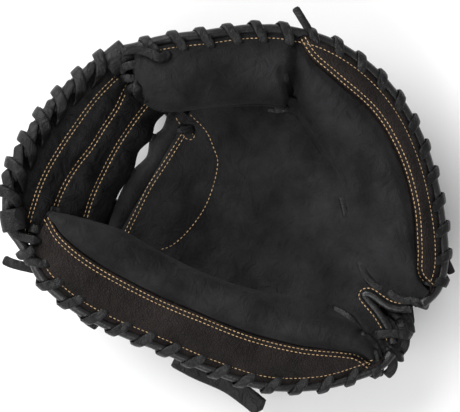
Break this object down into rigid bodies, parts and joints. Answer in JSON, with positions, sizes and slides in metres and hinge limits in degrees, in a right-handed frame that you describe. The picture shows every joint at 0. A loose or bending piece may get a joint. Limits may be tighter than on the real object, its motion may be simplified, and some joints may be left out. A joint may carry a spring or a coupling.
{
  "type": "baseball catchers mitt",
  "caption": "Round padded catcher's mitt worn on the left hand: deep pocket between thumb and finger pads, laced rim, closed web and a wrist strap.",
  "frame": {"origin": "centre of the bounding box at its base, where the back lies on the table", "axes": "+Z out of the pocket, +Y from the heel to the web, +X to the finger side"},
  "size_m": [0.2437, 0.2823, 0.0943],
  "materials": {
    "palm_leather": "matte, napped black cowhide",
    "panel_leather": "brown-black pebbled leather, slightly glossy",
    "back_leather": "black leather, satin",
    "strap_leather": "black leather, satin",
    "binding": "smooth rolled black leather",
    "lace": "waxed rawhide, soft shine",
    "lining": "soft deer-tanned lining",
    "padding": "wool felt",
    "hook_and_loop": "nylon hook and loop"
  },
  "bodies": {
    "finger_side": {"finger_pad_cover": "palm_leather", "finger_pad": "padding", "toe_cover": "palm_leather", "toe_pad": "padding", "finger_rim_panel": "panel_leather", "palm_finger": "palm_leather", "palm_felt_finger": "padding", "heel_strip_finger": "palm_leather", "finger_lining": "lining", "back_finger_panel": "back_leather", "finger_binding": "binding", "finger_rim_lace": "lace", "finger_corner_wrap": "lace", "opening_binding_finger": "binding", "little_finger_loop": "lining", "stall_walls": "lining", "lace_ends_finger": "lace", "palm_lace_finger": "lace", "palm_crease": "palm_leather", "crescent_patch": "palm_leather", "palm_top_roll": "palm_leather", "web": "palm_leather", "web_binding": "binding", "web_cross_lace": "lace", "web_tie_laces": "lace", "notch_binding": "binding", "wrist_strap": "strap_leather", "loop_pad": "hook_and_loop"},
    "thumb_side": {"thumb_pad_cover": "palm_leather", "thumb_pad": "padding", "thumb_rim_panel": "panel_leather", "thumb_bumper": "padding", "palm_thumb": "palm_leather", "palm_felt_thumb": "padding", "thumb_lining": "lining", "back_thumb_panel": "back_leather", "thumb_binding": "binding", "thumb_rim_lace": "lace", "thumb_corner_wrap": "lace", "opening_binding_thumb": "binding", "thumb_loop": "lining", "lace_ends_thumb": "lace", "palm_lace_thumb": "lace"},
    "strap_tab": {"pull_tab": "strap_leather", "hook_pad": "hook_and_loop"}
  },
  "joints": [
    {"name": "fold", "type": "hinge", "parent": "finger_side", "child": "thumb_side", "pos_m": [-0.0135, 0, 0.04], "axis": [0, 1, 0], "range_deg": [0, 36], "deforming": ["palm_crease", "crescent_patch", "palm_top_roll", "web", "web_binding", "web_cross_lace", "web_tie_laces", "notch_binding", "wrist_strap", "loop_pad"]},
    {"name": "tab_peel", "type": "hinge", "parent": "finger_side", "child": "strap_tab", "pos_m": [0.022, -0.096, 0.0052], "axis": [0, -1, 0], "range_deg": [0, 70]}
  ]
}
